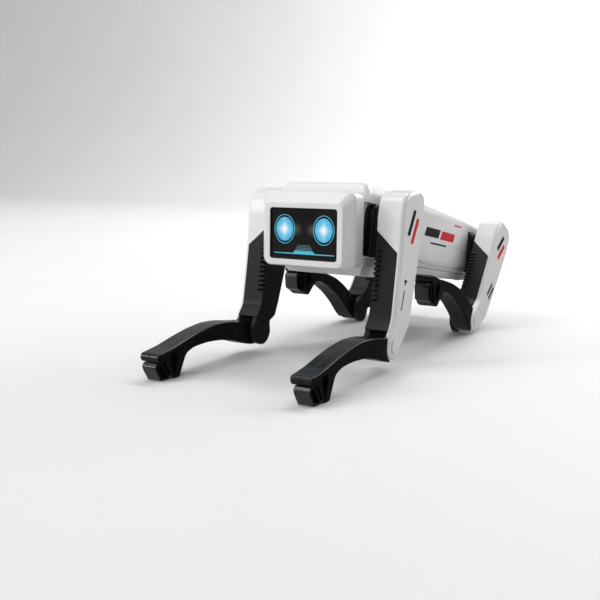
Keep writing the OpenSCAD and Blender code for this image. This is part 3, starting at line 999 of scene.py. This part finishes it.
def glass():
    """The dark screen, with fine display lines and a painted glow: faint grey emission next to each
    eye that stands in for the eyes' light on the glass.
    """
    s = Shader("look_screen", IOR=1.22)
    dark, light = (0.006, 0.005, 0.005), (0.013, 0.010, 0.010)
    s.to("Base Color", s.ramp(s.noise(45, 3), (0.3, dark), (0.7, light)))
    s.to("Roughness", s.spread(s.noise(500, 4), 0.10, 0.20))
    # Painted glow: grey emission on the glass beside each eye, standing in for the eyes' light on
    # it
    painted_glows = []
    for x in (-6.6, 6.6):
        far = s.far_from((x * MM, GLASS_Y * MM, (EYE_Z + 0.2) * MM))
        painted_glows.append(s.math("POWER", s.spread(far, 1.0, 0.0, 0.0, 0.0062), 1.6))
    glow = s.math("ADD", *painted_glows)
    lines = s.spread(s.noise(1, 2, 0.5, stretch=(300, 300, 4200)), 0.8, 1.0)
    painted_glow_strength = s.math("MULTIPLY", s.math("MULTIPLY", glow, 0.085), lines)
    s.surface.inputs["Emission Color"].default_value = (0.92, 0.96, 1.0, 1)
    s.to("Emission Strength", painted_glow_strength)
    return s.material


def eye_light():
    """A cyan disc with a white star in its middle and cloudy edges."""
    s = Shader("look_eye", Base_Color=(0.0, 0.02, 0.03, 1), Coat_Weight=0.5, Coat_Roughness=0.05)
    parts = s.nodes.new("ShaderNodeSeparateXYZ")
    s.link(s.place, parts, "Vector")
    x = s.math("ABSOLUTE", parts.outputs["X"])
    z = s.math("MULTIPLY", s.math("ABSOLUTE", parts.outputs["Z"]), 1 / EYE_STRETCH)
    far = s.math("SQRT", s.math("ADD", s.math("MULTIPLY", x, x), s.math("MULTIPLY", z, z)))
    star = s.math("ADD", far, s.math("MULTIPLY", s.math("SQRT", s.math("MULTIPLY", x, z)), 0.6))
    cloud = s.math("MULTIPLY", s.spread(s.noise(420, 3), -1, 1, 0.25, 0.75), 0.00075)
    core = s.spread(s.math("ADD", star, cloud), 0.0, 1.0, 0.0, 0.0098)
    s.to("Emission Color", s.ramp(
        core, (0.0, (0.93, 0.90, 0.97)), (0.18, (0.80, 0.84, 0.94)), (0.36, (0.36, 0.66, 0.84)),
        (0.56, (0.13, 0.50, 0.72)), (0.80, (0.07, 0.42, 0.68)), (1.0, (0.055, 0.36, 0.62)),
    ))
    s.surface.inputs["Emission Strength"].default_value = 1.0
    s.to("Roughness", s.spread(s.noise(500, 3), 0.12, 0.25))
    return s.material


def ring_light():
    """A lit line whose colour drifts along it."""
    s = Shader(
        "look_eye_ring", Base_Color=(0.0, 0.02, 0.02, 1), Coat_Weight=0.4, Coat_Roughness=0.08,
    )
    dim, bright = (0.03, 0.30, 0.40), (0.06, 0.42, 0.55)
    s.to("Emission Color", s.ramp(s.noise(170, 2), (0.35, dim), (0.65, bright)))
    s.surface.inputs["Emission Strength"].default_value = 1.0
    s.to("Roughness", s.spread(s.noise(500, 3), 0.15, 0.3))
    return s.material


def mouth_glow():
    """Bright at the base and fading over the stripes above it, and along the line."""
    s = Shader("look_mouth", Base_Color=(0.0, 0.02, 0.02, 1), Coat_Weight=0.4, Coat_Roughness=0.08)
    parts = s.nodes.new("ShaderNodeSeparateXYZ")
    s.link(s.place, parts, "Vector")
    up = s.spread(parts.outputs["Z"], 0.0, 1.0, 0.0, 0.0064)
    aside = s.spread(s.math("ABSOLUTE", parts.outputs["X"]), 0.0, 0.30, 0.006, 0.022)
    level = s.math("ADD", up, s.math("MULTIPLY", aside, s.spread(up, 1.0, 0.0, 0.1, 0.25)))
    wave = s.math("MULTIPLY", s.spread(s.noise(260, 2), -1, 1), 0.05)
    s.to("Emission Color", s.ramp(
        s.math("ADD", level, wave), (0.0, (0.06, 0.50, 0.68)), (0.25, (0.05, 0.42, 0.55)),
        (0.45, (0.03, 0.20, 0.24)), (0.75, (0.015, 0.10, 0.115)), (1.0, (0.008, 0.05, 0.06)),
    ))
    s.surface.inputs["Emission Strength"].default_value = 1.0
    s.to("Roughness", s.spread(s.noise(500, 3), 0.15, 0.3))
    return s.material


WHITE = plastic(
    "look_white", dark=(0.735, 0.735, 0.74), light=(0.765, 0.765, 0.77),
    rough=(0.28, 0.32), grain=(1100, 0.03), coat=0.1,
)
GREY = plastic(
    "look_grey", dark=(0.62, 0.63, 0.645), light=(0.66, 0.67, 0.685),
    rough=(0.40, 0.50), grain=(3600, 0.12), handling=0.04,
)
BLACK = plastic(
    "look_black", dark=(0.0045, 0.0042, 0.004), light=(0.0075, 0.0066, 0.006),
    rough=(0.20, 0.25), grain=(2600, 0.012), handling=0.02, ior=1.34,
)
FRAME_DARK = plastic(
    "look_frame", dark=(0.015, 0.016, 0.0165), light=(0.019, 0.020, 0.0205),
    rough=(0.30, 0.36), grain=(2600, 0.04), handling=0.02, ior=1.20,
)
DARK = plastic(
    "look_dark", dark=(0.012, 0.012, 0.0125), light=(0.017, 0.017, 0.0175),
    rough=(0.42, 0.54), grain=(3000, 0.2), handling=0.04, ior=1.3,
)
MOTOR = plastic(
    "look_motor", dark=(0.004, 0.004, 0.004), light=(0.007, 0.007, 0.007),
    rough=(0.20, 0.26), grain=(3600, 0.03), handling=0.02, ior=1.36,
)
PAD = plastic(
    "look_pad", dark=(0.007, 0.0075, 0.0075), light=(0.011, 0.0115, 0.0115),
    rough=(0.22, 0.28), grain=(2600, 0.04), coat=0.2, handling=0.02,
)
RED_PRINT = plastic(
    "look_red_print", dark=(0.60, 0.006, 0.010), light=(0.70, 0.010, 0.016),
    rough=(0.4, 0.5), grain=(3000, 0.03), ior=1.3,
)
# Dark print on the walls, also used for the painted shade in the thigh's sickle
BLACK_PRINT_AND_SHADE = plastic(
    "look_black_print_and_shade", dark=(0.006, 0.007, 0.007), light=(0.010, 0.011, 0.011),
    rough=(0.4, 0.5), grain=(3000, 0.03), ior=1.3,
)
STEEL = steel()
BOARD = board()
CELLS = cell_wrap()
GLASS = glass()
EYE = eye_light()
EYE_RING = ring_light()
MOUTH = mouth_glow()


# ---- the dog ----


def place_trunk():
    shell, belly = make_trunk_shell(), make_belly()
    add_piece("trunk_shell_look", shell, "trunk", ["body_shell"], WHITE, TRUNK)
    add_piece("belly_look", belly, "trunk", ["belly_plate"], GREY, TRUNK)
    add_piece("neck_look", make_neck(), "trunk", ["neck"], DARK)


def add_light_shape(name, mesh, nodes, material, middle):
    """A lit shape on the glass, whose own origin is its middle."""
    space = Matrix.Translation(middle)
    add_piece(name, mesh, "trunk", nodes, material, space, centre=middle * MM)


def place_head():
    add_piece("head_bezel_look", make_bezel(), "trunk", ["head_bezel"], WHITE)
    add_piece("head_rear_look", make_head_rear(), "trunk", ["head_rear"], WHITE)
    add_piece("screen_look", make_screen(), "trunk", ["screen_glass"], GLASS)
    disc, ring = make_eye_disc(), make_eye_ring()
    for side, sign in (("left", 1), ("right", -1)):
        middle = Vector((sign * EYE_X, GLASS_Y, EYE_Z))
        add_light_shape(f"eye_disc_{side}", disc, ["eye_lights"], EYE, middle)
        add_light_shape(f"eye_ring_{side}", ring, [], EYE_RING, middle)
    middle = Vector((0, GLASS_Y, MOUTH_Z))
    add_light_shape("mouth_look", make_mouth(), ["mouth_light"], MOUTH, middle)


def place_legs():
    frame_mesh = make_thigh_frame()
    add_leg_pieces("hip_motor", make_motor(), "trunk", MOTOR, hip_space)
    add_leg_pieces("thigh_shell", make_thigh_shell(), "thigh", WHITE, thigh_space)
    add_leg_pieces("thigh_frame", frame_mesh, "thigh", FRAME_DARK, thigh_space)
    add_leg_pieces("knee_cap", make_knee_cap(), "thigh", WHITE, thigh_space)
    add_leg_pieces("shank_inner", make_shank_inner(), "shank", BLACK, shank_space)
    add_leg_pieces("shank_outer", make_shank_outer(), "shank", BLACK, shank_space)
    add_leg_pieces("foot_pad", make_foot_pad(), "shank", PAD, shank_space)


def add_marks(kind, end, dark, red, body, space, right):
    """The dark and the red marks of one side wall; on a thigh the dark ones also hold the painted
    shade in the sickle.
    """
    for part, mesh, material in (("marks", dark, BLACK_PRINT_AND_SHADE), ("stripe", red, RED_PRINT)):
        name = f"{kind}_{part}_{end}"
        add_piece(name, mesh, body, [], material, space, right)


def place_marks():
    for leg in LEGS:
        dark, red = make_thigh_marks_and_heel_shade(leg in FRONT), make_thigh_stripe()
        add_marks("thigh", leg, dark, red, f"thigh_{leg}", thigh_space(leg), leg.endswith("r"))
    for side, right in (("left", False), ("right", True)):
        add_marks("trunk", side, make_trunk_marks(), make_trunk_stripe(), "trunk", TRUNK, right)


def dress_nodes():
    """Materials, and softened edges, for the CAD nodes that stay."""
    looks = {
        "battery_door": DARK, "belly_screws": STEEL, "battery_pack": CELLS, "circuit_board": BOARD,
        "speaker": DARK, "power_switch": DARK, "display_board": BOARD,
    }
    for leg in LEGS:
        for kind in ("hip_shaft", "knee_pin", "shank_screws"):
            looks[f"{kind}_{leg}"] = STEEL
    for node, material in looks.items():
        obj = frame["nodes"][node]
        for material_slot in obj.material_slots:
            material_slot.material = material
        edges = obj.modifiers.new("round", "BEVEL")
        edges.width = 0.12 * MM
        edges.segments = 2
        edges.limit_method = "ANGLE"
        edges.angle_limit = math.radians(50)


place_trunk()
place_head()
place_legs()
place_marks()
dress_nodes()


# ---- stage, light and camera ----

# The camera's place in metres, its turn, downward tilt and roll in degrees, its lens in mm
CAMERA_PLACE = (0.2924, -0.5922, 0.1322)
CAMERA_TURN = 30.2
CAMERA_DOWN = 8.43
CAMERA_ROLL = 0.71
CAMERA_LENS = 51.27


def make_floor():
    """A pale floor that curves up into a backdrop behind the dog, in metres."""
    bm = bmesh.new()
    bend, back, wide, high = 1.2, 2.2, 6.0, 4.0
    steps = 12
    profile = [(-4.0, 0.0), (back, 0.0)]
    for k in range(1, steps + 1):
        a = math.pi / 2 * k / steps
        profile.append((back + bend * math.sin(a), bend * (1 - math.cos(a))))
    profile.append((back + bend, high))
    rows = [[bm.verts.new((x, y, z)) for x in (-wide, wide)] for y, z in profile]
    for one, two in zip(rows, rows[1:]):
        bm.faces.new((one[0], one[1], two[1], two[0]))
    mesh = bpy.data.meshes.new("floor")
    bm.to_mesh(mesh)
    bm.free()
    mesh.polygons.foreach_set("use_smooth", [True] * len(mesh.polygons))
    floor = bpy.data.objects.new("floor", mesh)
    bpy.context.scene.collection.objects.link(floor)
    s = Shader("look_floor", Specular_IOR_Level=0.3)
    dark, light = (0.75, 0.75, 0.75), (0.77, 0.77, 0.77)
    s.to("Base Color", s.ramp(s.noise(3, 3), (0.3, dark), (0.7, light)))
    s.to("Roughness", s.spread(s.noise(40, 3), 0.55, 0.7))
    mesh.materials.append(s.material)
    floor.visible_glossy = False


def add_light(name, place, target, size, power, wide=1.0):
    """A soft light aimed at target; wide stretches it sideways."""
    light = bpy.data.lights.new(name, "AREA")
    light.shape = "ELLIPSE"
    light.size = size * wide
    light.size_y = size
    light.energy = power
    obj = bpy.data.objects.new(name, light)
    bpy.context.scene.collection.objects.link(obj)
    obj.location = place
    obj.rotation_euler = (Vector(target) - Vector(place)).to_track_quat("-Z", "Y").to_euler()


def light_scene():
    """A studio that is brighter from one side, with five soft lights."""
    world = bpy.data.worlds.new("studio")
    bpy.context.scene.world = world
    world.use_nodes = True
    nodes, links = world.node_tree.nodes, world.node_tree.links
    place = nodes.new("ShaderNodeTexCoord")
    facing = nodes.new("ShaderNodeVectorMath")
    facing.operation = "DOT_PRODUCT"
    facing.inputs[1].default_value = Vector((-0.72, -0.50, 0.48)).normalized()
    brightness = nodes.new("ShaderNodeMapRange")
    brightness.inputs["From Min"].default_value = -0.7
    brightness.inputs["From Max"].default_value = 1.0
    brightness.inputs["To Min"].default_value = 0.06
    brightness.inputs["To Max"].default_value = 0.80
    links.new(place.outputs["Generated"], facing.inputs[0])
    links.new(facing.outputs["Value"], brightness.inputs["Value"])
    links.new(brightness.outputs["Result"], nodes["Background"].inputs["Strength"])
    nodes["Background"].inputs["Color"].default_value = (1.0, 1.0, 1.0, 1)
    dog = (0, 0, 0.05)
    add_light("key", (-0.50, -0.44, 1.15), dog, 0.6, 3.5)
    add_light("front", (-1.2, -1.4, 0.75), dog, 0.95, 9.0, wide=0.34)
    add_light("side", (1.15, 1.15, 0.75), dog, 0.6, 6.0)
    add_light("rim", (0.35, 1.5, 0.8), dog, 0.3, 6.0, wide=4.0)
    add_light("backdrop", (0, 1.6, 2.6), (0, 3.2, 0.6), 2.0, 82.0)
    bpy.context.scene.view_settings.view_transform = "Standard"


def add_camera():
    camera = bpy.data.cameras.new("camera")
    obj = bpy.data.objects.new("camera", camera)
    bpy.context.scene.collection.objects.link(obj)
    turn = Matrix.Rotation(math.radians(CAMERA_TURN), 4, "Z")
    tilt = Matrix.Rotation(math.radians(90 - CAMERA_DOWN), 4, "X")
    roll = Matrix.Rotation(math.radians(CAMERA_ROLL), 4, "Z")
    obj.matrix_world = Matrix.Translation(CAMERA_PLACE) @ turn @ tilt @ roll
    camera.lens = CAMERA_LENS
    camera.sensor_width = 36
    camera.clip_start = 0.01
    bpy.context.scene.camera = obj


make_floor()
light_scene()
add_camera()

bpy.context.view_layer.update()
